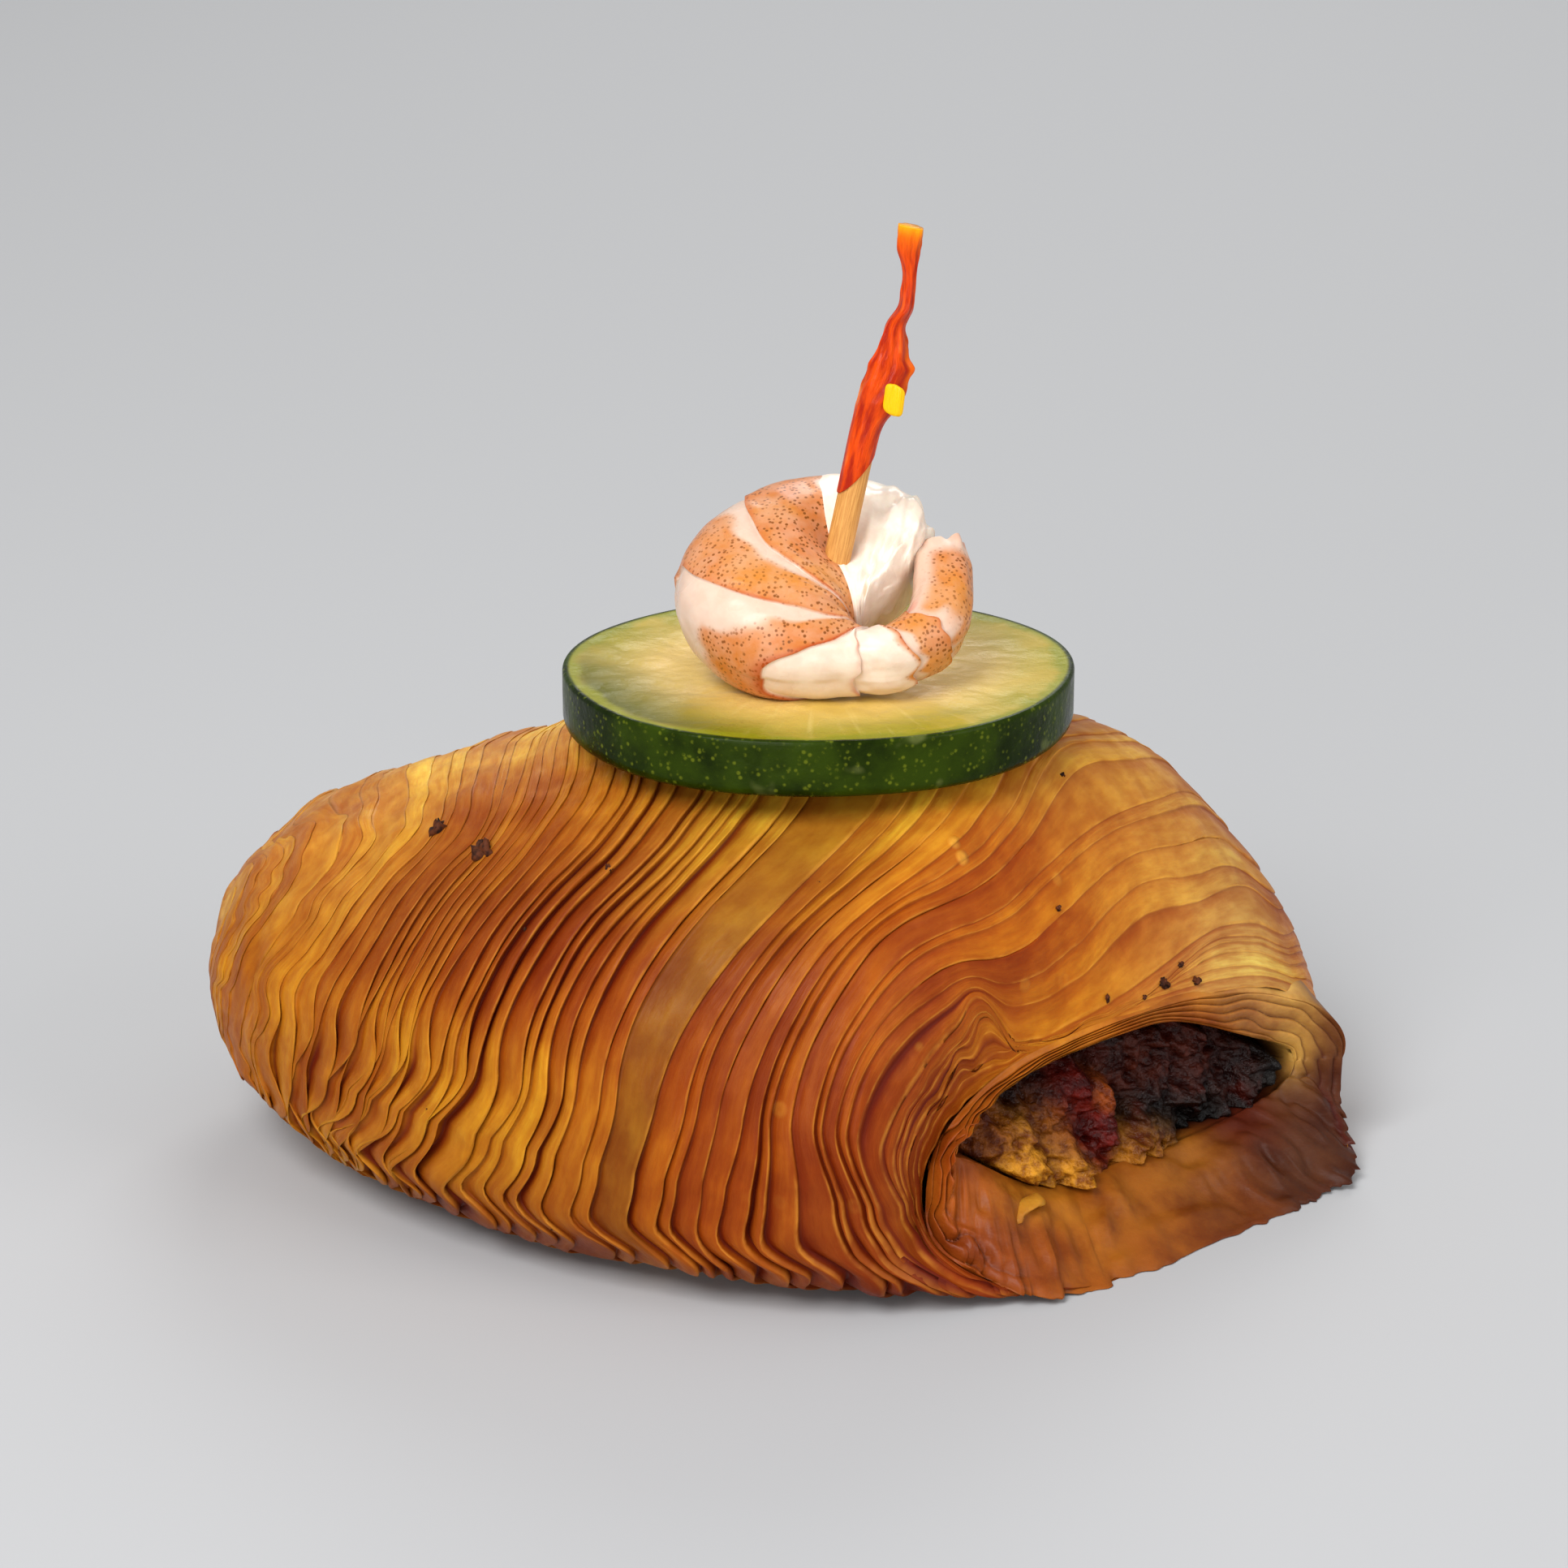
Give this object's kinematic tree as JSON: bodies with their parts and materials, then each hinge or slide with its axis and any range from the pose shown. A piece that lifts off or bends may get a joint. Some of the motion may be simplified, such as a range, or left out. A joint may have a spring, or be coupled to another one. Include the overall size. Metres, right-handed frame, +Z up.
{
  "type": "sfogliatella",
  "caption": "Ribbed shell-shaped flaky pastry with a filled mouth, topped with a zucchini slice and a curled prawn held by a frilled wooden pick.",
  "frame": {"origin": "middle of the whole object's footprint, on the surface it rests on", "axes": "+Z up, +X from the closed tip towards the mouth's side, +Y from the mouth's front towards the back"},
  "size_m": [0.103, 0.0692, 0.0862],
  "materials": {
    "baked_dough": "baked flaky dough, satin",
    "cooked_filling": "glossy, moist",
    "zucchini": "moist vegetable with dark green skin",
    "prawn_meat": "moist cooked prawn",
    "pick_wood": "plain bamboo",
    "pick_film": "clear orange film, glossy"
  },
  "bodies": {
    "root": {"pastry_shell": "baked_dough", "filling": "cooked_filling", "zucchini_slice": "zucchini", "prawn": "prawn_meat", "pick_stick": "pick_wood", "pick_film": "pick_film"}
  },
  "joints": []
}
